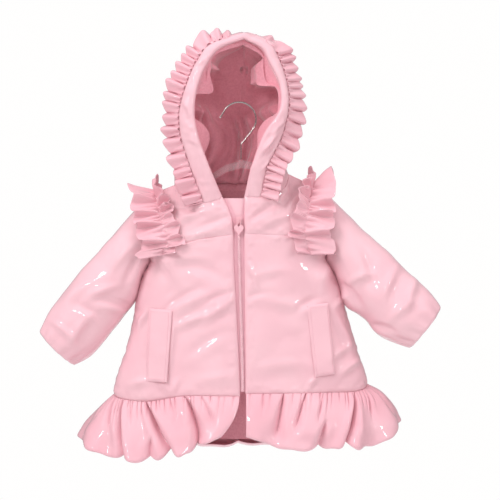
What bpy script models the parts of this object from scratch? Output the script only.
"""A toddler's padded coat with a hood, ruffles and a front zip, zipped up on its hanger.

Metres, +Z up. The front faces -Y, and left and right are as seen from the front.
The origin is the inside top of the hanger's hook, where the rod carries it.
"""

import bmesh
import bpy
import numpy as np
from mathutils.bvhtree import BVHTree

SEAM_GAP = 0.0003
PADDED_WALL = 0.0030
FLEECE_WALL = 0.0018
RUFFLE_WALL = 0.0014
TAPE_WALL = 0.0009
WELT_WALL = 0.0024

FRONT, BACK = -1, 1
LEFT, RIGHT = -1, 1
SIDE_NAME = {LEFT: "left", RIGHT: "right"}
SQUARENESS = 2.4  # exponent of the body's sections: 2 is an ellipse, more is boxier


def table(names, *rows):
    """Named columns from rows of numbers."""
    return dict(zip(names.split(), (np.array(c, float) for c in zip(*rows))))


# The body's sections, bottom up: its sides, its depth to the front and back, the zip's line
# and half the width of the channel between the fronts' edges.
BODY = table(
    "z left right front back zip channel",
    (-0.4450, -0.1880, 0.1945, 0.0590, 0.0610, 0.0060, 0.0052),
    (-0.4155, -0.1830, 0.1905, 0.0575, 0.0600, 0.0057, 0.0056),
    (-0.3740, -0.1685, 0.1770, 0.0550, 0.0575, 0.0048, 0.0064),
    (-0.3300, -0.1585, 0.1640, 0.0520, 0.0540, 0.0035, 0.0072),
    (-0.2900, -0.1520, 0.1530, 0.0495, 0.0505, 0.0022, 0.0080),
    (-0.2600, -0.1425, 0.1430, 0.0475, 0.0480, 0.0012, 0.0086),
    (-0.2370, -0.1320, 0.1300, 0.0460, 0.0460, 0.0005, 0.0090),
    (-0.1900, -0.1320, 0.1300, 0.0440, 0.0430, 0.0000, 0.0092),
)

# The seams' heights, from the centre (across 0) to the side (across 1).
SEAMS = table(
    "across hem_left hem_right hem_back yoke_left yoke_right",
    (0.00, -0.4343, -0.4305, -0.4360, -0.1980, -0.1968),
    (0.25, -0.4345, -0.4300, -0.4365, -0.2035, -0.1982),
    (0.45, -0.4425, -0.4297, -0.4365, -0.2095, -0.1995),
    (0.70, -0.4410, -0.4290, -0.4360, -0.2140, -0.2010),
    (1.00, -0.4355, -0.4200, -0.4300, -0.2175, -0.2025),
)
BACK_YOKE_Z = -0.2050
UNDERARM_Z = {LEFT: -0.2385, RIGHT: -0.2355}
ARMHOLE_DEPTH = 0.0300  # how far the armhole stands out to the front and back at the yoke
ARMHOLE_X = {LEFT: -0.1325, RIGHT: 0.1300}
SHOULDER_POINT = {LEFT: (-0.1350, 0.0, -0.1380), RIGHT: (0.1245, 0.0, -0.1300)}
NECK_SHARE = 0.5  # share of a yoke's top edge that is neckline; the rest is shoulder seam
YOKE_EASE = 2.2  # how late a yoke's cloth turns back towards the shoulder

# The neckline, from the left front's top corner round the back to the right front's.
NECK = table(
    "turn x y z",
    (0.00, -0.0255, -0.0400, -0.1425),
    (0.10, -0.0525, -0.0390, -0.1505),
    (0.18, -0.0760, -0.0290, -0.1470),
    (0.27, -0.0950, -0.0030, -0.1225),
    (0.38, -0.0700, 0.0280, -0.1240),
    (0.50, -0.0050, 0.0420, -0.1300),
    (0.62, 0.0540, 0.0260, -0.1180),
    (0.73, 0.0745, -0.0020, -0.1070),
    (0.82, 0.0680, -0.0260, -0.1280),
    (0.90, 0.0480, -0.0370, -0.1400),
    (1.00, 0.0095, -0.0400, -0.1410),
)
NECK_SIDE_TURN = {LEFT: 0.27, RIGHT: 0.73}
NECK_BACK_TURN = 0.50
NECK_BAND_TURN = {LEFT: 0.10, RIGHT: 0.94}  # where the hood band's outer seam meets the neck

# The sleeves' sections, from the armhole to the cuff: centre, half sizes and the tilt of the
# section's long axis, in degrees from +X.
SLEEVES = {
    LEFT: table(
        "along x y z wide deep tilt",
        (0.00, -0.1340, 0.0000, -0.1880, 0.0500, 0.0340, 90.0),
        (0.25, -0.1629, -0.0010, -0.2267, 0.0413, 0.0350, 112.0),
        (0.50, -0.1830, -0.0040, -0.2600, 0.0449, 0.0350, 127.0),
        (0.75, -0.2200, -0.0080, -0.3055, 0.0444, 0.0340, 141.0),
        (0.92, -0.2565, -0.0110, -0.3505, 0.0420, 0.0310, 137.0),
        (1.00, -0.2710, -0.0120, -0.3660, 0.0345, 0.0250, 135.0),
    ),
    RIGHT: table(
        "along x y z wide deep tilt",
        (0.00, 0.1300, 0.0000, -0.1820, 0.0500, 0.0340, 90.0),
        (0.25, 0.1579, -0.0020, -0.2205, 0.0466, 0.0360, 77.8),
        (0.50, 0.1835, -0.0090, -0.2575, 0.0510, 0.0370, 62.0),
        (0.75, 0.2187, -0.0190, -0.2882, 0.0464, 0.0360, 48.0),
        (0.92, 0.2537, -0.0280, -0.3210, 0.0458, 0.0330, 43.5),
        (1.00, 0.2755, -0.0310, -0.3330, 0.0355, 0.0270, 53.0),
    ),
}
SLEEVE_BLEND = 0.30  # share of the sleeve over which the armhole's shape turns into an oval
CUFF_GATHERS, CUFF_GATHER_DEPTH = 12, 0.0009

# The hood, from the neck (rise 0) to the top seam (rise 1): the rim of the opening, the widest
# outline behind it, the seam down the back, and where the front band ends, as a share of the
# way from the rim out to the widest outline.
HOOD = table(
    "rise rim_left rim_right rim_y rim_z wide_left wide_right wide_z back_x back_y back_z "
    "band_left band_right",
    (0.20, -0.0440, 0.0190, -0.0500, -0.1000, -0.0940, 0.0690, -0.0950, -0.003, 0.0570, -0.0930,
     0.56, 0.45),
    (0.40, -0.0620, 0.0390, -0.0530, -0.0480, -0.0980, 0.0780, -0.0440, -0.002, 0.0690, -0.0520,
     0.68, 0.69),
    (0.55, -0.0665, 0.0610, -0.0520, -0.0130, -0.0990, 0.0830, -0.0115, 0.000, 0.0750, -0.0240,
     0.63, 0.55),
    (0.70, -0.0600, 0.0600, -0.0480, 0.0260, -0.0890, 0.0790, 0.0290, 0.002, 0.0770, 0.0060,
     0.54, 0.54),
    (0.82, -0.0470, 0.0460, -0.0440, 0.0560, -0.0720, 0.0670, 0.0620, 0.004, 0.0740, 0.0290,
     0.58, 0.66),
    (0.92, -0.0270, 0.0330, -0.0400, 0.0790, -0.0480, 0.0500, 0.0880, 0.006, 0.0670, 0.0460,
     0.64, 0.67),
    (1.00, 0.0075, 0.0075, -0.0380, 0.0920, 0.0075, 0.0075, 0.1045, 0.007, 0.0590, 0.0560,
     0.72, 0.72),
)
HOOD_WIDEST_Y = -0.0040
HOOD_RISES = (0, 0.1, 0.2, 0.3, 0.4, 0.5, 0.6, 0.7, 0.78, 0.86, 0.93, 1.0)
HOOD_STEPS = 9  # cells from the rim to the back seam
BAND_CELLS = 2  # the front band's share of them

# Broad folds of the fronts and the back: where, along which slope, how long, wide and deep.
FOLDS = table(
    "face x z slope long wide deep",
    (-1, -0.1050, -0.2950, 62.0, 0.040, 0.016, -0.0035),
    (-1, 0.1050, -0.2850, -60.0, 0.040, 0.016, -0.0035),
    (-1, -0.0450, -0.1720, 18.0, 0.050, 0.013, -0.0030),
    (-1, 0.0450, -0.1680, 32.0, 0.050, 0.013, -0.0030),
    (-1, -0.1250, -0.3850, 75.0, 0.045, 0.018, 0.0030),
    (-1, 0.1300, -0.3800, -72.0, 0.045, 0.018, 0.0030),
    (1, -0.0900, -0.2900, -58.0, 0.050, 0.018, -0.0040),
    (1, 0.0950, -0.2800, 60.0, 0.050, 0.018, -0.0040),
    (1, 0.0000, -0.3500, 88.0, 0.060, 0.022, -0.0030),
    (1, -0.1200, -0.3800, 70.0, 0.050, 0.018, 0.0030),
)

# The hem ruffle, from the left front's edge round the back to the right front's: how far it
# drops and flares, and how round (1) or straight (0) it leaves the seam.
HEM_RUFFLE = table(
    "turn drop flare puff",
    (0.00, 0.0560, 0.0260, 0.8),
    (0.03, 0.0740, 0.0300, 0.8),
    (0.10, 0.0820, 0.0320, 0.8),
    (0.18, 0.0790, 0.0380, 0.5),
    (0.25, 0.0640, 0.0520, 0.1),
    (0.33, 0.0830, 0.0400, 0.6),
    (0.50, 0.0880, 0.0300, 0.8),
    (0.67, 0.0790, 0.0400, 0.8),
    (0.75, 0.0560, 0.0490, 1.0),
    (0.82, 0.0760, 0.0380, 0.9),
    (0.90, 0.0770, 0.0320, 0.8),
    (0.97, 0.0750, 0.0280, 0.8),
    (1.00, 0.0600, 0.0240, 0.8),
)
HEM_SIDE_TURN = {LEFT: 0.25, RIGHT: 0.75}
HEM_WAVES = 56  # gathers round the whole hem
HEM_GATHER, HEM_SWING = 0.0012, 0.0062  # their depth at the seam and at the bottom fold
# The bubble fold's section: shares of the drop, of the flare when round and when straight, and
# of the waves. It turns under at its foot.
HEM_SECTION = table(
    "drop round straight swing",
    (0.00, 0.00, 0.00, 0.00),
    (0.12, 0.50, 0.22, 0.30),
    (0.45, 0.86, 0.62, 0.75),
    (0.88, 1.00, 0.97, 1.00),
    (1.00, 0.80, 0.90, 0.80),
)

# The hood's ruffle, from the left end of its seam over the top to the right: how far it stands
# out round the opening, and how far it leans back over the hood.
HOOD_RUFFLE = table(
    "turn spread back",
    (0.00, 0.0255, -0.0090), (0.06, 0.0250, -0.0040), (0.12, 0.0240, 0.0040), (0.20, 0.0200, 0.0150),
    (0.30, 0.0245, 0.0120), (0.38, 0.0200, 0.0180), (0.44, 0.0200, 0.0185), (0.50, 0.0115, 0.0240),
    (0.55, 0.0115, 0.0240), (0.61, 0.0190, 0.0190), (0.68, 0.0180, 0.0200), (0.75, 0.0210, 0.0170),
    (0.83, 0.0250, 0.0090), (0.90, 0.0245, 0.0000), (1.00, 0.0235, -0.0090),
)
HOOD_RUFFLE_WAVES = 42
HOOD_RUFFLE_GATHER, HOOD_RUFFLE_SWING = 0.0012, 0.0042

# The shoulder ruffles' stitch lines: on the fronts and back they run below the yoke seam.
STITCH_FOOT_Z = -0.2265
STITCH_FOOT_SHARE = {LEFT: 0.66, RIGHT: 0.62}  # across the yoke, at the yoke seam
STITCH_TOP_SHARE = {LEFT: 0.88, RIGHT: 0.84}  # across the yoke, on the shoulder seam
FRILL_IN, FRILL_OUT = 0.0200, 0.0400  # the frills towards the neck and over the sleeve
STAND_IN, STAND_OUT = 68.0, {LEFT: 40.0, RIGHT: 55.0}  # degrees, at the top of the shoulder
SHOULDER_WAVES = 15
SHOULDER_GATHER, SHOULDER_SWING = 0.0010, 0.0040
SHOULDER_LIFT = 0.0026

# Pocket welts, their corners on the fronts: top, bottom, and the inner and outer edges.
WELTS = {
    LEFT: table("z inner outer", (-0.4140, -0.1060, -0.1350), (-0.3090, -0.0985, -0.1285)),
    RIGHT: table("z inner outer", (-0.4050, 0.1125, 0.1410), (-0.3020, 0.1010, 0.1310)),
}
WELT_LIFT = 0.0012

# The zip: the slider sits below the neck, and the tapes part above it.
SLIDER_Z = -0.1775
ZIP_TOP_Z, ZIP_BOTTOM_Z = -0.1445, -0.4285
TAPE_WIDTH, CHAIN_WIDTH, CHAIN_DEPTH = 0.0125, 0.0052, 0.0018
TEETH_AT_TOP = {LEFT: -0.0180, RIGHT: 0.0075}
FLAP_LEFT, FLAP_RIGHT, FLAP_TOP_Z = -0.0215, 0.0215, -0.1440
SLIDER_WIDTH, SLIDER_HEIGHT, SLIDER_DEPTH = 0.0080, 0.0110, 0.0026
BRIDGE_WIDTH, BRIDGE_WIRE = 0.0030, 0.0012
PULL_WIDTH, PULL_HEIGHT, PULL_WALL = 0.0140, 0.0165, 0.0016

HOOK_WIRE = 0.0026
HOOK_RADIUS = 0.0258  # to the middle of the wire
HOOK_ARC = (150.0, -36.0)  # degrees, from the tip's side over the top
HOOK_TIP, HOOK_BEND, HOOK_FOOT_Z = (-0.0285, -0.0228), (0.0033, -0.0620), -0.0850
BAR_DEPTH, BAR_HEIGHT = 0.0040, 0.0110
BAR_CLEARANCE = 0.0020  # under the shoulder seams' inner ridge
BAR_BEVEL = 0.0034
BAR_MIDDLE = table(
    "x z", (-0.0620, -0.1150), (-0.0410, -0.1060), (-0.0200, -0.0930), (0.0033, -0.0865),
    (0.0260, -0.0895), (0.0450, -0.0980),
)
BAR_ENDS = {LEFT: -0.1270, RIGHT: 0.1170}
SOCKET_WIDTH, SOCKET_HEIGHT, SOCKET_DEPTH = 0.0100, 0.0100, 0.0070
LINING_TOP_Z, LINING_BOTTOM_Z = -0.4280, -0.5085

COLOURS = {
    "patent": ((0.87, 0.50, 0.57), 0.18, 0.0),
    "fleece": ((0.80, 0.42, 0.49), 0.90, 0.0),
    "zip": ((0.85, 0.48, 0.54), 0.45, 0.0),
    "hook": ((0.70, 0.69, 0.67), 0.25, 1.0),
    "clear": ((0.86, 0.84, 0.85), 0.12, 0.0),
}


def curve(knots, values, at):
    """A smooth curve through values at rising knots: cubic pieces with finite-difference slopes."""
    slopes = np.gradient(values, knots)
    at = np.clip(at, knots[0], knots[-1])
    i = np.clip(np.searchsorted(knots, at) - 1, 0, len(knots) - 2)
    span = knots[i + 1] - knots[i]
    u = (at - knots[i]) / span
    start, end = 2 * u**3 - 3 * u**2 + 1, 3 * u**2 - 2 * u**3
    leave, arrive = (u**3 - 2 * u**2 + u) * span, (u**3 - u**2) * span
    return start * values[i] + end * values[i + 1] + leave * slopes[i] + arrive * slopes[i + 1]


def read(rows, key, name, at):
    """Column name of a table, smoothly, where column key is at."""
    return curve(rows[key], rows[name], np.asarray(at, float))


def vectors(x, y, z):
    return np.stack(np.broadcast_arrays(x, y, z), axis=-1).astype(float)


def mix(a, b, share):
    return a + (b - a) * share


def unit(v):
    return v / np.maximum(np.linalg.norm(v, axis=-1, keepdims=True), 1e-12)


def folds(face, x, z):
    """How far the broad folds move the cloth outwards at x, z on one face."""
    moved = np.zeros(np.broadcast(x, z).shape)
    for i in np.nonzero(FOLDS["face"] == face)[0]:
        turn = np.radians(FOLDS["slope"][i])
        dx, dz = x - FOLDS["x"][i], z - FOLDS["z"][i]
        along = dx * np.cos(turn) + dz * np.sin(turn)
        off = dz * np.cos(turn) - dx * np.sin(turn)
        shape = np.exp(-((along / FOLDS["long"][i]) ** 2) - (off / FOLDS["wide"][i]) ** 2)
        moved = moved + FOLDS["deep"][i] * shape
    return moved


# The body below the yokes.


def hem_z(side, face, across):
    name = "hem_back" if face == BACK else "hem_" + SIDE_NAME[side]
    z = read(SEAMS, "across", name, across)
    if face == FRONT:
        return z
    corner = read(SEAMS, "across", "hem_" + SIDE_NAME[side], 1.0)
    middle = read(SEAMS, "across", "hem_back", 0.0)
    return mix(middle, corner, np.asarray(across, float) ** 2)


def yoke_z(side, face, across):
    corner = read(SEAMS, "across", "yoke_" + SIDE_NAME[side], 1.0)
    if face == BACK:
        return mix(BACK_YOKE_Z, corner, np.asarray(across, float) ** 2)
    return read(SEAMS, "across", "yoke_" + SIDE_NAME[side], across)


def body_reach(side, z):
    """Half the body's width at z on one side, and where its section ends, as an angle from the
    centre: 90 degrees at the side seam, less along the armhole."""
    z = np.asarray(z, float)
    middle = read(BODY, "z", "zip", z)
    half = np.abs(read(BODY, "z", SIDE_NAME[side], z) - middle)
    depth = read(BODY, "z", "front", z)
    corner = read(SEAMS, "across", "yoke_" + SIDE_NAME[side], 1.0)
    rise = np.clip((z - UNDERARM_Z[side]) / (corner - UNDERARM_Z[side]), 0, 1.6)
    out = ARMHOLE_DEPTH * np.clip(rise, 0, 1) ** 0.7
    end = np.arccos(np.clip(out / depth, 0, 1) ** (SQUARENESS / 2))
    wide = np.abs(mix(half * side + middle, ARMHOLE_X[side], np.clip(rise * 4, 0, 1)) - middle)
    return wide / np.sin(end) ** (2 / SQUARENESS), end


def body_point(side, face, across, height):
    """A point of a front or of the back below the yoke. across runs from the centre (0) to the
    side (1), height from the hem seam (0) to the yoke seam (1)."""
    across, height = np.broadcast_arrays(np.asarray(across, float), np.asarray(height, float))
    z = mix(hem_z(side, face, across), yoke_z(side, face, across), height)
    outer_z = mix(hem_z(side, face, 1.0), yoke_z(side, face, 1.0), height)
    half, _ = body_reach(side, z)
    _, end = body_reach(side, outer_z)
    start = 0.0
    if face == FRONT:
        channel = read(BODY, "z", "channel", z)
        start = np.arcsin((channel / half) ** (SQUARENESS / 2))
    angle = mix(start, end, across)
    depth = read(BODY, "z", "front" if face == FRONT else "back", z)
    out = depth * np.cos(angle) ** (2 / SQUARENESS)
    if face == BACK:  # at the armhole both faces stand out alike
        front_depth = read(BODY, "z", "front", z)
        out = out * mix(1.0, front_depth / depth, across**3)
    x = read(BODY, "z", "zip", z) + side * half * np.sin(angle) ** (2 / SQUARENESS)
    soft = np.sin(np.pi * np.clip(across, 0, 1)) ** 0.5 * np.sin(np.pi * np.clip(height, 0, 1)) ** 0.4
    y = face * (out + folds(face, x, z) * soft)
    return vectors(x, y, z)


def front_surface(side, x, z):
    """The front's surface at x, z, straight from its section's formula."""
    half, _ = body_reach(side, z)
    share = np.clip(np.abs(x - read(BODY, "z", "zip", z)) / half, 0, 1)
    out = read(BODY, "z", "front", z) * (1 - share**SQUARENESS) ** (1 / SQUARENESS)
    return vectors(x, -(out + np.maximum(folds(FRONT, x, z), 0)), z)


# The yokes and the neckline.


def neck_point(turn):
    return vectors(*(read(NECK, "turn", axis, turn) for axis in "xyz"))


def neck_turn(side, step):
    """Where a step of the hood's sweep meets the neckline."""
    start = 0.0 if side == LEFT else 1.0
    turns = [start, NECK_BAND_TURN[side], NECK_SIDE_TURN[side], NECK_BACK_TURN]
    return np.interp(step, [0, BAND_CELLS, 5, HOOD_STEPS], turns)


def yoke_top(side, face, across):
    """The yoke's upper edge: neckline from the centre, then shoulder seam."""
    across = np.asarray(across, float)
    share = np.clip(across / NECK_SHARE, 0, 1)
    step = 5 * share if face == FRONT else HOOD_STEPS - (HOOD_STEPS - 5) * share
    neck = neck_point(neck_turn(side, step))
    out = np.clip((across - NECK_SHARE) / (1 - NECK_SHARE), 0, 1)[..., None]
    return neck + (np.array(SHOULDER_POINT[side]) - neck_point(NECK_SIDE_TURN[side])) * out


def yoke_point(side, face, across, height):
    """A point of a yoke. height runs from the yoke seam (0) to the neck and shoulder (1), and
    the cloth turns back towards the shoulder late."""
    across, height = np.broadcast_arrays(np.asarray(across, float), np.asarray(height, float))
    foot, top = body_point(side, face, across, 1.0), yoke_top(side, face, across)
    point = mix(foot, top, height[..., None])
    late = height**YOKE_EASE
    point[..., 1] = mix(foot[..., 1], top[..., 1], late)
    edge = (1 - across) ** 4 if face == FRONT else 0.0
    point[..., 0] += (top[..., 0] - foot[..., 0]) * (late - height) * edge
    return point


# The sleeves.


def armhole(side, body_heights, yoke_heights):
    """The armhole's points, from the underarm up the front, over the shoulder and down the back."""
    up = [body_point(side, FRONT, 1.0, body_heights), yoke_point(side, FRONT, 1.0, yoke_heights[1:])]
    down = [yoke_point(side, BACK, 1.0, yoke_heights[-2::-1]),
            body_point(side, BACK, 1.0, body_heights[-2:0:-1])]
    return np.concatenate(up + down)


def sleeve_section(side, along, turn):
    """An oval section of the sleeve. turn 0 is its underside, and it rises round the front."""
    rows = SLEEVES[side]
    tilt = np.radians(read(rows, "along", "tilt", along))
    wide, deep = read(rows, "along", "wide", along), read(rows, "along", "deep", along)
    centre = vectors(*(read(rows, "along", axis, along) for axis in "xyz"))
    up = -np.cos(2 * np.pi * turn) * wide
    front = np.sin(2 * np.pi * turn) * deep
    return centre + vectors(up * np.cos(tilt), -front, up * np.sin(tilt))


def sleeve_creases(side, along, turn):
    """Soft creases across the sleeve's front and back, deepest near the elbow's inside."""
    low = np.cos(np.pi * turn) ** 2
    elbow = np.exp(-(((along - 0.52) / 0.10) ** 2)) - 0.7 * np.exp(-(((along - 0.66) / 0.08) ** 2))
    return -0.0030 * low * elbow * np.sin(2 * np.pi * np.clip(turn, 0.02, 0.98)) ** 2


def sleeve_points(side, ring, alongs):
    """The sleeve's rings. The armhole's own shape fades into the ovals."""
    steps = np.linalg.norm(np.roll(ring, -1, axis=0) - ring, axis=-1)
    turn = (np.cumsum(steps) - steps) / steps.sum()
    turn = np.interp(turn, [0, turn[len(ring) // 2], 1], [0, 0.5, 1])
    turn, along = np.meshgrid(turn, alongs, indexing="ij")
    oval = sleeve_section(side, along, turn)
    centre = sleeve_section(side, along, 0.0) / 2 + sleeve_section(side, along, 0.5) / 2
    share = np.clip(along / SLEEVE_BLEND, 0, 1)
    share = (share * share * (3 - 2 * share))[..., None]
    start = ring[:, None, :] + (centre - centre[:, :1]) * 1.0
    points = mix(start, oval, share)
    swell = sleeve_creases(side, along, turn) * share[..., 0]
    gather = CUFF_GATHER_DEPTH * np.cos(2 * np.pi * CUFF_GATHERS * turn)
    swell = swell + gather * np.clip((along - 0.92) / 0.08, 0, 1)
    return points + unit(points - centre) * swell[..., None], centre


# The hood.


def hood_section(side, rise, step):
    """The hood's section at one rise: from the rim (sweep -90 degrees) round its widest point
    (0) to the back seam (90), as two quarter ellipses. The band's seam is at step BAND_CELLS."""
    rise = np.maximum(rise, HOOD["rise"][0])
    name = SIDE_NAME[side]
    seam = -np.degrees(np.arccos(read(HOOD, "rise", "band_" + name, rise)))
    sweep = np.select(
        [step <= BAND_CELLS, step <= 5],
        [mix(-90, seam, step / BAND_CELLS), mix(seam, 4, (step - BAND_CELLS) / (5 - BAND_CELLS))],
        mix(4, 90, (step - 5) / (HOOD_STEPS - 5)),
    )
    rim = vectors(*(read(HOOD, "rise", c, rise) for c in ("rim_" + name, "rim_y", "rim_z")))
    wide = vectors(read(HOOD, "rise", "wide_" + name, rise), HOOD_WIDEST_Y,
                   read(HOOD, "rise", "wide_z", rise))
    back = vectors(*(read(HOOD, "rise", c, rise) for c in ("back_x", "back_y", "back_z")))
    angle = np.radians(sweep)
    end = np.where((sweep < 0)[..., None], rim, back)
    across, round_ = np.cos(angle)[..., None], np.abs(np.sin(angle))[..., None]
    point = end + (wide - end) * across
    point[..., 1] = (wide + (end - wide) * round_)[..., 1]
    return point


def hood_point(side, rise, step):
    """A point of the hood: the neckline at rise 0, the hood's sections above, blended between."""
    rise, step = np.broadcast_arrays(np.asarray(rise, float), np.asarray(step, float))
    share = np.clip(rise / HOOD["rise"][0], 0, 1)[..., None]
    return mix(neck_point(neck_turn(side, step)), hood_section(side, rise, step), share)


# Walls from grids of points.


def cells(rows, columns, ring):
    """Corner numbers of a grid's cells; ring joins the last row to the first."""
    made = []
    for i in range(rows if ring else rows - 1):
        nxt = (i + 1) % rows
        made += [(i * columns + j, nxt * columns + j, nxt * columns + j + 1, i * columns + j + 1)
                 for j in range(columns - 1)]
    return np.array(made)


def corner_normals(points, ring, inside):
    """The area-weighted normals at a grid's corners, not yet unit length, facing from inside."""
    quad = cells(points.shape[0], points.shape[1], ring)
    flat = points.reshape(-1, 3)
    corners = flat[quad]
    normal = np.cross(corners[:, 2] - corners[:, 0], corners[:, 3] - corners[:, 1])
    heart = np.broadcast_to(inside, points.shape).reshape(-1, 3)[quad[:, 0]]
    side = np.sign(np.sum(normal * (corners.mean(axis=1) - heart)))
    total = np.zeros_like(flat)
    for corner in range(4):
        np.add.at(total, quad[:, corner], normal * side)
    return total.reshape(points.shape)


def sewn_normals(pieces):
    """Unit normals for every piece's points, shared where pieces meet, so that walls meet in a
    mitre. pieces maps a name to (points, ring, inside). In the sleeves' narrow valleys under the
    arms, where body and sleeve face each other, each keeps its own."""
    totals = {True: {}, False: {}}
    keys = {}
    for name, piece in pieces.items():
        keys[name] = [tuple(key) for key in np.round(piece[0].reshape(-1, 3) * 1e5).astype(int)]
        total = totals[name.startswith("sleeve")]
        for key, normal in zip(keys[name], corner_normals(*piece).reshape(-1, 3)):
            total[key] = total.get(key, 0) + normal
    shared = {}
    for name, (points, _, _) in pieces.items():
        of_sleeve = name.startswith("sleeve")
        own = unit(np.array([totals[of_sleeve][key] for key in keys[name]]))
        met = unit(np.array([totals[not of_sleeve].get(key, np.zeros(3)) for key in keys[name]]))
        agree = np.clip(np.sum(own * met, axis=-1, keepdims=True) * 3 - 0.5, 0, 1)
        shared[name] = unit(own + met * agree).reshape(points.shape)
    return shared


SPLIT_WAY = np.array([0.61, 0.37, 0.70])


def square_to(way, edge):
    """The part of way that is square to an edge's line, unit length."""
    along = unit(np.gradient(edge, axis=0))
    return unit(way - along * np.sum(way * along, axis=-1, keepdims=True))


def inwards(edge, beside):
    """Which way is in, square to an edge. Its ends look to their diagonal neighbours."""
    way = beside - edge
    way[0], way[-1] = beside[1] - edge[0], beside[-2] - edge[-1]
    return square_to(way, edge)


def drawn_in(points, ring, gap):
    """The grid with its open edges moved in by gap, square to each edge."""
    moved = points.copy()
    if not ring:
        moved[0] += inwards(points[0], points[1]) * gap
        moved[-1] += inwards(points[-1], points[-2]) * gap
    for first, second in ((0, 1), (-1, -2)):
        edge, beside = points[:, first], points[:, second]
        moved[:, first] += (square_to(beside - edge, edge) if ring else inwards(edge, beside)) * gap
    return moved


def material(name):
    found = bpy.data.materials.get(name)
    if found:
        return found
    found = bpy.data.materials.new(name)
    found.use_nodes = True
    colour, roughness, metallic = COLOURS[name]
    shader = found.node_tree.nodes["Principled BSDF"]
    shader.inputs["Base Color"].default_value = (*colour, 1.0)
    shader.inputs["Roughness"].default_value = roughness
    shader.inputs["Metallic"].default_value = metallic
    return found


def add_object(name, points, faces, finish, smooth=True):
    mesh = bpy.data.meshes.new(name)
    mesh.from_pydata(np.asarray(points).tolist(), [], [list(map(int, f)) for f in faces])
    mesh.materials.append(material(finish))
    mesh.validate()
    if smooth:
        mesh.shade_smooth()
        mesh.set_sharp_from_angle(angle=np.radians(50))
    made = bpy.data.objects.new(name, mesh)
    bpy.context.scene.collection.objects.link(made)
    return made


def add_wall(name, outer, inner, ring, finish):
    """A closed wall between two grids of points."""
    rows, columns, _ = outer.shape
    quad = cells(rows, columns, ring)
    flat = outer.reshape(-1, 3)
    corners = flat[quad]
    normal = np.cross(corners[:, 2] - corners[:, 0], corners[:, 3] - corners[:, 1])
    out = (flat - inner.reshape(-1, 3))[quad[:, 0]]
    if np.sum(normal * out) < 0:
        quad = quad[:, ::-1]
    count = rows * columns
    edges = {}
    for face in quad:
        for a, b in zip(face, np.roll(face, -1)):
            edges[(a, b)] = True
    rim = []
    for a, b in edges:
        if (b, a) in edges:
            continue
        # Both pieces at a seam split its faces along the same diagonal, so they can't cross.
        if np.dot(flat[b] - flat[a], SPLIT_WAY) > 0:
            rim += [(b, a, b + count), (a, a + count, b + count)]
        else:
            rim += [(b, a, a + count), (b, a + count, b + count)]
    # Each cell is cut along its shorter diagonal, the same on both faces.
    a, b, c, d = quad.T
    short = np.linalg.norm(flat[a] - flat[c], axis=1) <= np.linalg.norm(flat[b] - flat[d], axis=1)
    one = np.where(short[:, None], np.stack([a, b, c], 1), np.stack([a, b, d], 1))
    two = np.where(short[:, None], np.stack([a, c, d], 1), np.stack([b, c, d], 1))
    cut = np.concatenate([one, two])
    faces = [*cut, *(cut[:, ::-1] + count), *rim]
    return add_object(name, np.concatenate([flat, inner.reshape(-1, 3)]), faces, finish)


def add_shell(name, points, normals, ring, thickness, finish, under=0.0, gap=SEAM_GAP / 2):
    """A wall whose outer face lies under the points by under, drawn back from its seams."""
    outer = drawn_in(points - normals * under, ring, gap)
    inner = drawn_in(points - normals * (under + thickness), ring, gap)
    return add_wall(name, outer, inner, ring, finish)


def add_sheet(name, middle, thickness, finish, across=None):
    """A wall of even thickness about a middle surface."""
    if across is None:
        across = unit(corner_normals(middle, False, middle.mean(axis=(0, 1))))
    half = across * thickness / 2
    return add_wall(name, middle + half, middle - half, False, finish)


# The garment's shells: body, yokes, sleeves and hood are worked out together, because each
# seam's points serve the pieces on both sides of it.

FRONT_COLUMNS = np.concatenate([np.linspace(0, NECK_SHARE, 6), np.linspace(NECK_SHARE, 1, 5)[1:]])
BACK_COLUMNS = np.concatenate([np.linspace(0, NECK_SHARE, 5), np.linspace(NECK_SHARE, 1, 5)[1:]])
YOKE_HEIGHTS = np.linspace(0, 1, 5)
SLEEVE_STATIONS = np.array([0, 0.08, 0.17, 0.28, 0.40, 0.50, 0.60, 0.70, 0.81, 0.92, 0.97, 1.0])


def body_heights(side):
    """Rows from the hem to the yoke seam, with one at the underarm."""
    low, high = hem_z(side, FRONT, 1.0), yoke_z(side, FRONT, 1.0)
    underarm = (UNDERARM_Z[side] - low) / (high - low)
    return np.concatenate([np.linspace(0, underarm, 8), np.linspace(underarm, 1, 4)[1:]])


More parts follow.
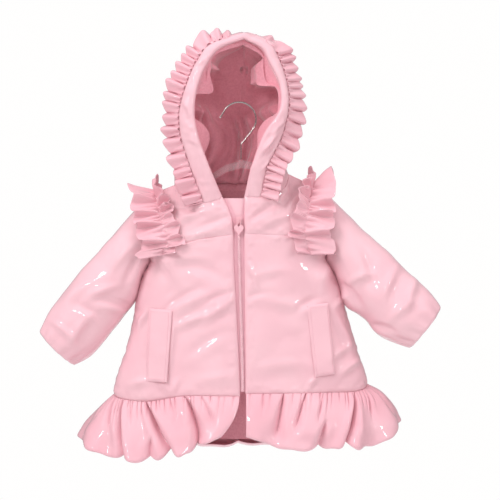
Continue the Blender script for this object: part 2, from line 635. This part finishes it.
def shells():
    """Every shell's name with its (points, ring, inside)."""
    made = {}
    heart = np.array([0.0, 0.0, -0.30])
    for side in (LEFT, RIGHT):
        name = SIDE_NAME[side]
        across, height = np.meshgrid(FRONT_COLUMNS, body_heights(side), indexing="ij")
        made["front_" + name] = (body_point(side, FRONT, across, height), False, heart)
        across, height = np.meshgrid(FRONT_COLUMNS, YOKE_HEIGHTS, indexing="ij")
        made["yoke_" + name] = (yoke_point(side, FRONT, across, height), False, heart)
        heights = body_heights(side)
        ring = armhole(side, heights[7:], YOKE_HEIGHTS)
        points, centre = sleeve_points(side, ring, SLEEVE_STATIONS)
        made["sleeve_" + name] = (points, True, centre)
    for name, of, heights in (
        ("back", body_point, body_heights),
        ("back_yoke", yoke_point, lambda side: YOKE_HEIGHTS),
    ):
        halves = []
        for side in (LEFT, RIGHT):
            across, height = np.meshgrid(BACK_COLUMNS, heights(side), indexing="ij")
            halves.append(of(side, BACK, across, height))
        halves[0][0] = halves[1][0] = (halves[0][0] + halves[1][0]) / 2
        made[name] = (np.concatenate([halves[0][::-1], halves[1][1:]]), False, heart)
    steps = np.arange(HOOD_STEPS + 1)
    rise, step = np.meshgrid(HOOD_RISES, steps, indexing="ij")
    hood = {side: hood_point(side, rise, step) for side in (LEFT, RIGHT)}
    for edge in (np.s_[-1, :], np.s_[:, -1]):  # the top and back seams are shared
        shared = (hood[LEFT][edge] + hood[RIGHT][edge]) / 2
        hood[LEFT][edge] = hood[RIGHT][edge] = shared
    middle = np.array([-0.008, 0.015, -0.020])
    for side in (LEFT, RIGHT):
        made["hood_side_" + SIDE_NAME[side]] = (hood[side][:, BAND_CELLS:], False, middle)
    band = [hood[LEFT][:, : BAND_CELLS + 1], hood[RIGHT][-2::-1, : BAND_CELLS + 1]]
    made["hood_band"] = (np.concatenate(band), False, middle)
    return made


# Ruffles.


def hem_seam(turn):
    """The hem seam at turn, from the left front's edge round the back to the right front's."""
    turn = np.asarray(turn, float)
    point = np.zeros((*turn.shape, 3))
    quarter = HEM_SIDE_TURN[LEFT]
    for face, side, low in ((FRONT, LEFT, 0.0), (BACK, LEFT, 0.25), (BACK, RIGHT, 0.5), (FRONT, RIGHT, 0.75)):
        here = (turn >= low) & (turn <= low + quarter)
        share = (turn[here] - low) / quarter
        across = 1 - share if (face, side) in ((BACK, LEFT), (FRONT, RIGHT)) else share
        point[here] = body_point(side, face, across, 0.0)
    return point


def hem_corners(turn):
    """The hem seam as the panels really have it: straight from corner to corner."""
    quarters = [FRONT_COLUMNS, 1 - BACK_COLUMNS[::-1], BACK_COLUMNS, 1 - FRONT_COLUMNS[::-1]]
    at = np.unique(np.concatenate([(i + share) / 4 for i, share in enumerate(quarters)]).round(9))
    corners = hem_seam(at)
    return np.stack([np.interp(turn, at, corners[:, i]) for i in range(3)], axis=-1)


def ruffle_phase(turn, waves):
    """Wave count so far at turn; the gathers are bunched unevenly, as hand-drawn threads are."""
    return waves * turn + 0.35 * np.sin(2 * np.pi * 5 * turn) + 0.22 * np.sin(2 * np.pi * 11 * turn + 1.3)


def add_hem_ruffle(name, first, last, waves):
    """A bubble ruffle: gathered at the seam, flared, and folded under at its foot."""
    columns = waves * 4 + 1
    turn = np.linspace(first, last, columns)
    seam = hem_corners(turn)
    ahead, behind = hem_seam(np.clip(turn + 0.004, 0, 1)), hem_seam(np.clip(turn - 0.004, 0, 1))
    tangent = unit((ahead - behind) * np.array([1, 1, 0]))
    out = np.cross(np.array([0.0, 0.0, 1.0]), tangent)
    drop = read(HEM_RUFFLE, "turn", "drop", turn)[:, None]
    flare = read(HEM_RUFFLE, "turn", "flare", turn)[:, None]
    phase = ruffle_phase(turn, HEM_WAVES)[:, None]
    near = HEM_GATHER * np.cos(2 * np.pi * phase)
    far = HEM_SWING * (0.30 * np.cos(2 * np.pi * phase) + 0.95 * np.cos(np.pi * phase + 0.7))
    swing = mix(near, far, HEM_SECTION["swing"])
    puff = read(HEM_RUFFLE, "turn", "puff", turn)[:, None]
    reach = flare * mix(HEM_SECTION["straight"], HEM_SECTION["round"], puff) + swing - 0.0015
    depth = drop * HEM_SECTION["drop"] * (1 + 0.04 * np.cos(np.pi * phase + 0.4)) + 0.0017
    middle = seam[:, None] + out[:, None] * reach[..., None]
    middle[..., 2] -= depth
    middle = drawn_in(middle, False, SEAM_GAP / 2)
    inside = seam[:, None] - out[:, None] * 0.05
    normal = unit(corner_normals(middle, False, np.broadcast_to(inside, middle.shape)))
    for end in (0, -1):  # at its ends the wall stays square to the side seam
        way = tangent[end]
        normal[end] = unit(normal[end] - (normal[end] @ way)[:, None] * way)
    return add_sheet(name, middle, RUFFLE_WALL, "patent", normal)


def hood_seam_line(samples):
    """Points and outward normals along the band's outer seam, from the left neck over the top."""
    rise = np.concatenate([np.linspace(0, 1, samples), np.linspace(1, 0, samples)[1:]])
    side = np.where(np.arange(len(rise)) < samples, LEFT, RIGHT)

    def at(step):
        both = {s: hood_point(s, rise, step) for s in (LEFT, RIGHT)}
        return np.where((side == LEFT)[:, None], both[LEFT], both[RIGHT])

    seam = at(float(BAND_CELLS))
    back = unit(at(BAND_CELLS + 0.6) - at(BAND_CELLS - 0.3))
    tangent = unit(np.gradient(seam, axis=0))
    normal = unit(np.cross(back, tangent))
    centre = np.array([-0.008, 0.02, -0.02])
    normal *= np.sign(np.sum(normal * (seam - centre), axis=-1))[:, None]
    return seam, normal, tangent


def spread_evenly(count, points, *others):
    """The polyline's points, and what goes with them, at even distances along it."""
    length = np.concatenate([[0], np.cumsum(np.linalg.norm(np.diff(points, axis=0), axis=-1))])
    at = np.linspace(0, length[-1], count)
    return [np.stack([np.interp(at, length, a[:, i]) for i in range(3)], -1) for a in (points, *others)]


def add_hood_ruffle():
    """A ruffle gathered along the band's outer seam."""
    columns = HOOD_RUFFLE_WAVES * 4 + 1
    seam, normal, tangent = spread_evenly(columns, *hood_seam_line(60))
    turn = np.linspace(0, 1, columns)
    tangent = unit(tangent)
    radial = unit(np.cross(tangent, np.array([0.0, 1.0, 0.0])))
    radial = softened(radial * np.sign(np.sum(radial * normal, axis=-1))[:, None], 14)
    back = read(HOOD_RUFFLE, "turn", "back", turn)[:, None] * np.array([0.0, 1.0, 0.0])
    lean = radial * read(HOOD_RUFFLE, "turn", "spread", turn)[:, None] + back
    cross = unit(np.cross(lean, tangent))
    reach = np.array([0.0, 0.45, 1.0])
    wide = np.array([HOOD_RUFFLE_GATHER, 0.65 * HOOD_RUFFLE_SWING, HOOD_RUFFLE_SWING])
    swing = np.cos(2 * np.pi * ruffle_phase(turn, HOOD_RUFFLE_WAVES))[:, None] * wide
    base = seam + unit(normal) * 0.0022
    middle = base[:, None] + lean[:, None] * reach[None, :, None] + cross[:, None] * swing[..., None]
    inside = base[:, None] + np.array([0.0, 0.05, 0.0])
    across = unit(corner_normals(middle, False, np.broadcast_to(inside, middle.shape)))
    return add_sheet("hood_ruffle", middle, RUFFLE_WALL, "patent", across)


def softened(ways, times):
    """Unit vectors along a line, each turned towards its neighbours again and again."""
    for _ in range(times):
        ways = ways.copy()
        ways[1:-1] = ways[:-2] + ways[1:-1] * 2 + ways[2:]
        ways = unit(ways)
    return ways


def stitch_line(side, samples):
    """Points of a shoulder ruffle's stitch line, front foot to back foot, each with the way out
    of the cloth and the way across it to the sleeve: first as the body curves, for the inner
    frill, then straight on past the armhole, for the outer one."""
    def share(height):
        return mix(STITCH_FOOT_SHARE[side], STITCH_TOP_SHARE[side], height)

    def half(face):
        low, high = hem_z(side, face, share(0.0)), yoke_z(side, face, share(0.0))
        foot = (STITCH_FOOT_Z - low) / (high - low)
        body = np.linspace(foot, 1, samples)
        yoke = np.linspace(0, 1, 3 * samples)
        shares = np.concatenate([np.full(samples, share(0.0)), share(yoke[1:])])

        def at(shift):
            a = body_point(side, face, shares[:samples] + shift, body)
            b = yoke_point(side, face, np.clip(shares[samples:] + shift, 0, 1), yoke[1:])
            return np.concatenate([a, b])

        line = at(0.0)
        along = unit(np.gradient(line, axis=0))
        found = [line]
        for flatten in (1.0, 0.1):
            across = unit((at(0.04) - at(-0.04)) * np.array([1.0, flatten, 1.0]))
            normal = unit(np.cross(across, along))
            normal *= np.sign(np.sum(normal * (line - np.array([0, 0, -0.25])), axis=-1))[:, None]
            found += [normal, across]
        return found

    front, back = half(FRONT), half(BACK)
    return [np.concatenate([f, b[-2::-1]]) for f, b in zip(front, back)]


def add_shoulder_ruffle(side):
    """A ruffle gathered along a stitch line, with a narrow frill to the neck and a wide one over
    the sleeve, from the front over the shoulder to the back. Both stand up at the shoulder."""
    columns = SHOULDER_WAVES * 4 + 1
    line, normal_in, across_in, normal_out, across_out = spread_evenly(columns, *stitch_line(side, 12))
    frames = []
    for normal, across in ((normal_in, across_in), (normal_out, across_out)):
        # The cloth bridges the sharp shoulder edge in a soft arch.
        normal, across = softened(normal, 12), softened(across, 12)
        frames.append((normal, unit(across - normal * np.sum(across * normal, axis=-1, keepdims=True))))
    turn = np.linspace(0, 1, columns)[:, None]
    phase = ruffle_phase(turn, SHOULDER_WAVES)
    reach = np.array([-FRILL_IN, -0.5 * FRILL_IN, 0.0, 0.35 * FRILL_OUT, 0.7 * FRILL_OUT, FRILL_OUT])
    inner = reach < 0
    top = np.exp(-(((turn - 0.5) / 0.17) ** 2))
    stand = np.radians(np.where(inner, mix(12, STAND_IN, top), mix(8, STAND_OUT[side], top)))
    way = np.where(inner, -1, 1)
    far = np.abs(reach) / FRILL_OUT
    swing = np.cos(2 * np.pi * phase) * mix(SHOULDER_GATHER, SHOULDER_SWING, np.minimum(1.4 * far, 1))
    swing = swing + 0.5 * SHOULDER_SWING * np.cos(np.pi * phase + 0.5) * far
    size = np.abs(reach)
    sideways = way * (size * np.cos(stand) - swing * np.sin(stand))
    lift = SHOULDER_LIFT + size * np.sin(stand) + swing * np.cos(stand)
    pick = np.where(reach > 0, 1, 0)
    normal, across = (np.stack([frames[i][which] for i in pick], axis=1) for which in (0, 1))
    middle = line[:, None] + across * sideways[..., None] + normal * lift[..., None]
    inside = line[:, None] - normal * 0.05
    normals = unit(corner_normals(middle, False, np.broadcast_to(inside, middle.shape)))
    return add_sheet("shoulder_ruffle_" + SIDE_NAME[side], middle, RUFFLE_WALL, "patent", normals)


# What is worn on and inside the shells.


def add_block(name, points, faces, finish):
    """A closed solid straight from its corners, with its faces turned outwards."""
    made = add_object(name, points, faces, finish, smooth=False)
    work = bmesh.new()
    work.from_mesh(made.data)
    bmesh.ops.recalc_face_normals(work, faces=work.faces)
    work.to_mesh(made.data)
    work.free()
    return made


def swept(sections):
    """Corners and faces of a solid with one closed section after another."""
    count, size, _ = sections.shape
    faces = [tuple(range(size)), tuple(range(count * size - 1, (count - 1) * size - 1, -1))]
    for i in range(count - 1):
        for j in range(size):
            k = (j + 1) % size
            faces.append((i * size + j, i * size + k, (i + 1) * size + k, (i + 1) * size + j))
    return sections.reshape(-1, 3), faces


def zip_edge(pieces, side):
    """The front edge beside the zip, hem to neck: the panel's and then the yoke's corners."""
    name = SIDE_NAME[side]
    return np.concatenate([pieces["front_" + name][0][0], pieces["yoke_" + name][0][0, 1:]])


def beside_zip(edge, z):
    return np.interp(z, edge[:, 2], edge[:, 0]), np.interp(z, edge[:, 2], edge[:, 1])


def zip_line(pieces, z):
    """The zip's middle: x on its line, y just behind the fronts' inner faces."""
    y = [beside_zip(zip_edge(pieces, side), z)[1] for side in (LEFT, RIGHT)]
    return read(BODY, "z", "zip", z), np.maximum(*y) + PADDED_WALL + SEAM_GAP


def add_zip(pieces):
    for side in (LEFT, RIGHT):
        edge = zip_edge(pieces, side)
        z = np.concatenate([np.linspace(ZIP_BOTTOM_Z, SLIDER_Z, 13), np.linspace(SLIDER_Z, ZIP_TOP_Z, 4)[1:]])
        x, _ = beside_zip(edge, z)
        middle, y = zip_line(pieces, z)
        open_ = np.clip((z - SLIDER_Z) / (ZIP_TOP_Z - SLIDER_Z), 0, 1) ** 1.3
        teeth = mix(middle + side * (CHAIN_WIDTH / 2 + SEAM_GAP), TEETH_AT_TOP[side], open_)
        outer = np.maximum(side * (x + side * 0.004), side * teeth + 0.006) * side
        front = np.stack([vectors(teeth, y, z), vectors(outer, y, z)], axis=1)
        behind = front + np.array([0, TAPE_WALL, 0])
        add_wall("zip_tape_" + SIDE_NAME[side], front, behind, False, "zip")
    z = np.linspace(ZIP_BOTTOM_Z, SLIDER_Z - SLIDER_HEIGHT / 2 + 0.001, 13)
    x, y = zip_line(pieces, z)
    half, low, high = CHAIN_WIDTH / 2, y - CHAIN_DEPTH / 2, y + CHAIN_DEPTH / 2
    box = [vectors(x + a, b, z) for a, b in ((-half, low), (half, low), (half, high), (-half, high))]
    add_block("zip_chain", *swept(np.stack(box, axis=1)), "zip")
    z = np.linspace(ZIP_BOTTOM_Z, FLAP_TOP_Z, 13)
    x, y = zip_line(pieces, z)
    y = y + max(TAPE_WALL, CHAIN_DEPTH / 2) + SEAM_GAP
    front = np.stack([vectors(x + at, y, z) for at in np.linspace(FLAP_LEFT, FLAP_RIGHT, 3)], axis=1)
    add_wall("wind_flap", front, front + np.array([0, RUFFLE_WALL, 0]), False, "patent")


def add_slider(pieces):
    """The slider, with the bridge that carries its pull, and the heart-shaped pull hanging on it."""
    x, y = (float(v) for v in zip_line(pieces, SLIDER_Z))
    back = y - CHAIN_DEPTH / 2 - SEAM_GAP
    front = back - SLIDER_DEPTH
    axis_y = front - 0.0019
    # Seen from the side: the body's outline, and the bridge standing on it as a staple.
    half, reach, wire = SLIDER_HEIGHT / 2, 0.0036, BRIDGE_WIRE
    near, far = axis_y - 0.0012, axis_y - 0.0012 - wire
    body = box_mesh((x - SLIDER_WIDTH / 2, front, SLIDER_Z - half), (x + SLIDER_WIDTH / 2, back, SLIDER_Z + half))
    staple = [(front + 0.0005, -reach), (far, -reach), (far, reach), (front + 0.0005, reach),
              (front + 0.0005, reach - wire), (near, reach - wire), (near, wire - reach),
              (front + 0.0005, wire - reach)]
    sides = [[(x + s * BRIDGE_WIDTH / 4, a, SLIDER_Z + b) for a, b in staple] for s in (-1, 1)]
    bridge = swept(np.array(sides))
    joined("zip_slider", [body, bridge], "zip")
    # The heart, drawn about its own middle, with the eye's bar through the bridge.
    turn = np.linspace(0, 2 * np.pi, 33)[:-1]
    wide = 16 * np.sin(turn) ** 3
    high = 13 * np.cos(turn) - 5 * np.cos(2 * turn) - 2 * np.cos(3 * turn) - np.cos(4 * turn)
    scale_x, scale_z = PULL_WIDTH / 32, PULL_HEIGHT / 29.5
    heart = np.stack([x + wide * scale_x, SLIDER_Z - 0.0055 - (12.5 - high) * scale_z], axis=-1)
    plate = np.stack([vectors(heart[:, 0], axis_y + s * PULL_WALL / 2, heart[:, 1]) for s in (-1, 1)])
    eye_out, eye_in, top, low = 0.0030, 0.0017, SLIDER_Z + 0.0007, SLIDER_Z - 0.0078
    rails = [(x - eye_out, low), (x - eye_out, top), (x + eye_out, top), (x + eye_out, low),
             (x + eye_in, low), (x + eye_in, top - 0.0014), (x - eye_in, top - 0.0014), (x - eye_in, low)]
    thin = 0.0007
    eye = np.array([[(a, axis_y + s * thin, b) for a, b in rails] for s in (-1, 1)])
    hole = box_mesh((x - eye_in, axis_y - 0.003, low - 0.0001), (x + eye_in, axis_y + 0.003, top - 0.0014))
    joined("zip_pull", [swept(plate), swept(eye)], "zip", cut=hole)


def box_mesh(low, high):
    (x0, y0, z0), (x1, y1, z1) = low, high
    ring = [(x0, y0), (x1, y0), (x1, y1), (x0, y1)]
    return swept(np.array([[(a, b, z) for a, b in ring] for z in (z0, z1)]))


def joined(name, solids, finish, cut=None):
    """One body from overlapping solids, less a cut."""
    made = add_block(name, *solids[0], finish)
    for operation, other in [("UNION", s) for s in solids[1:]] + ([("DIFFERENCE", cut)] if cut else []):
        tool = add_block(name + "_tool", *other, finish)
        change = made.modifiers.new("join", "BOOLEAN")
        change.operation, change.object, change.solver = operation, tool, "EXACT"
        bpy.context.view_layer.update()
        shape = bpy.data.meshes.new_from_object(made.evaluated_get(bpy.context.evaluated_depsgraph_get()))
        made.modifiers.clear()
        made.data = shape
        bpy.data.objects.remove(tool)
    return made


def add_welts(side, panel):
    """A pocket welt lying on the front, its points taken from the panel's own facets."""
    mesh = panel.data
    surface = BVHTree.FromPolygons([v.co for v in mesh.vertices], [list(f.vertices) for f in mesh.polygons])
    rows = WELTS[side]
    height = np.linspace(0, 1, 8)
    z = np.interp(height, [0, 1], rows["z"])
    inner, outer = (np.interp(height, [0, 1], rows[edge]) for edge in ("inner", "outer"))
    grid = np.array([[(x, surface.ray_cast((x, -1.0, at), (0, 1, 0))[0].y, at)
                      for x in np.linspace(a, b, 4)] for a, b, at in zip(inner, outer, z)])
    grid[..., 1] -= WELT_LIFT
    heart = np.array([0, 0, -0.3])
    normals = unit(corner_normals(grid, False, heart))
    add_wall("pocket_welt_" + SIDE_NAME[side], grid + normals * WELT_WALL, grid, False, "patent")


def add_linings(pieces, normals):
    """The hood's fleece lining, a left and a right half inside the shell, and the back's hem lining."""
    band, band_n = pieces["hood_band"][0], normals["hood_band"]
    rows = len(HOOD_RISES)
    for side, pick in ((LEFT, np.s_[:rows]), (RIGHT, np.s_[:-rows - 1:-1])):
        name = SIDE_NAME[side]
        points = np.concatenate([band[pick], pieces["hood_side_" + name][0][:, 1:]], axis=1)
        facing = np.concatenate([band_n[pick], normals["hood_side_" + name][:, 1:]], axis=1)
        points[0], facing[0] = mix(points[0], points[1], 0.4), unit(mix(facing[0], facing[1], 0.4))
        add_shell("hood_lining_" + name, points, facing, False, FLEECE_WALL, "fleece",
                  under=PADDED_WALL + 2 * SEAM_GAP, gap=0.0006)
    back, back_n = pieces["back"][0], normals["back"]
    inside = back - back_n * (PADDED_WALL + SEAM_GAP)
    columns = slice(3, -3)
    top = inside[columns, 1]
    foot = inside[columns, 0]
    share = np.linspace(0, 1, 5)[:, None]
    hang = foot[:, None] + np.stack([0 * share, 0 * share, mix(0.0, LINING_BOTTOM_Z - foot[:, 2].mean(), share)], -1)[:, 0][None]
    grid = np.concatenate([mix(top, foot, 0.55)[:, None], hang], axis=1)
    grid[:, 1, 2] += 0.0006
    across = unit(np.stack([back_n[columns, 0, 0], back_n[columns, 0, 1], np.zeros(len(foot))], -1))
    wave = 0.0016 * np.cos(np.arange(len(foot)) * np.pi)[:, None]
    grid = grid - across[:, None] * np.concatenate([[0.0, 0.0], share[1:, 0] * 0.004])[None, :, None]
    grid[:, 2:] += across[:, None] * (wave * share[1:, 0])[..., None]
    add_wall("back_lining", grid, grid - across[:, None] * FLEECE_WALL, False, "fleece")


def add_hanger():
    """The steel hook, and the clear bar that lies under the shoulder seams."""
    wire = HOOK_WIRE / 2
    middle_z = wire - HOOK_RADIUS
    arc = np.radians(np.linspace(*HOOK_ARC, 17))
    path = [HOOK_TIP, *zip(HOOK_RADIUS * np.cos(arc), middle_z + HOOK_RADIUS * np.sin(arc)),
            HOOK_BEND, (HOOK_BEND[0], HOOK_BEND[1] - 0.006), (HOOK_BEND[0], HOOK_FOOT_Z)]
    path = np.array(path)
    way = unit(np.gradient(path, axis=0))
    turn = np.linspace(0, 2 * np.pi, 9)[:-1]
    across = np.stack([-way[:, 1], np.zeros(len(way)), way[:, 0]], axis=-1)
    centre = np.stack([path[:, 0], np.zeros(len(path)), path[:, 1]], axis=-1)
    ring = (across[:, None] * np.cos(turn)[None, :, None] + np.array([0, 1, 0]) * np.sin(turn)[None, :, None])
    add_block("hanger_hook", *swept(centre[:, None] + ring * wire), "hook")
    drop = PADDED_WALL + BAR_CLEARANCE
    tops = []
    for side in (LEFT, RIGHT):
        inner, outer = neck_point(NECK_SIDE_TURN[side]), np.array(SHOULDER_POINT[side])
        share = np.linspace(0, (BAR_ENDS[side] - inner[0]) / (outer[0] - inner[0]), 4)
        seam = inner + (outer - inner) * share[:, None]
        tops.append(seam - np.array([0, 0, drop]))
    middle = np.stack([BAR_MIDDLE["x"], BAR_MIDDLE["x"] * 0, BAR_MIDDLE["z"]], -1)
    top = np.concatenate([tops[0][::-1], middle, tops[1]])
    half = BAR_DEPTH / 2
    corners = [top + np.array([0, a, b]) for a, b in
               ((-half, -BAR_BEVEL), (0, 0), (half, -BAR_BEVEL), (half, -BAR_HEIGHT), (-half, -BAR_HEIGHT))]
    bar = swept(np.stack(corners, axis=1))
    x, z = HOOK_BEND[0], HOOK_FOOT_Z - SEAM_GAP
    socket = box_mesh((x - SOCKET_WIDTH / 2, -SOCKET_DEPTH / 2, z - SOCKET_HEIGHT),
                      (x + SOCKET_WIDTH / 2, SOCKET_DEPTH / 2, z))
    joined("hanger_bar", [bar, socket], "clear")


def build():
    for old in list(bpy.data.objects):
        bpy.data.objects.remove(old)
    pieces = shells()
    normals = sewn_normals(pieces)
    for name, (points, ring, _) in pieces.items():
        add_shell(name, points, normals[name], ring, PADDED_WALL, "patent")
    add_hem_ruffle("hem_ruffle_left", 0.0, 0.25, 15)
    add_hem_ruffle("hem_ruffle_back", 0.25, 0.75, 26)
    add_hem_ruffle("hem_ruffle_right", 0.75, 1.0, 15)
    add_hood_ruffle()
    for side in (LEFT, RIGHT):
        add_shoulder_ruffle(side)
        add_welts(side, bpy.data.objects["front_" + SIDE_NAME[side]])
    add_linings(pieces, normals)
    add_zip(pieces)
    add_slider(pieces)
    add_hanger()


build()
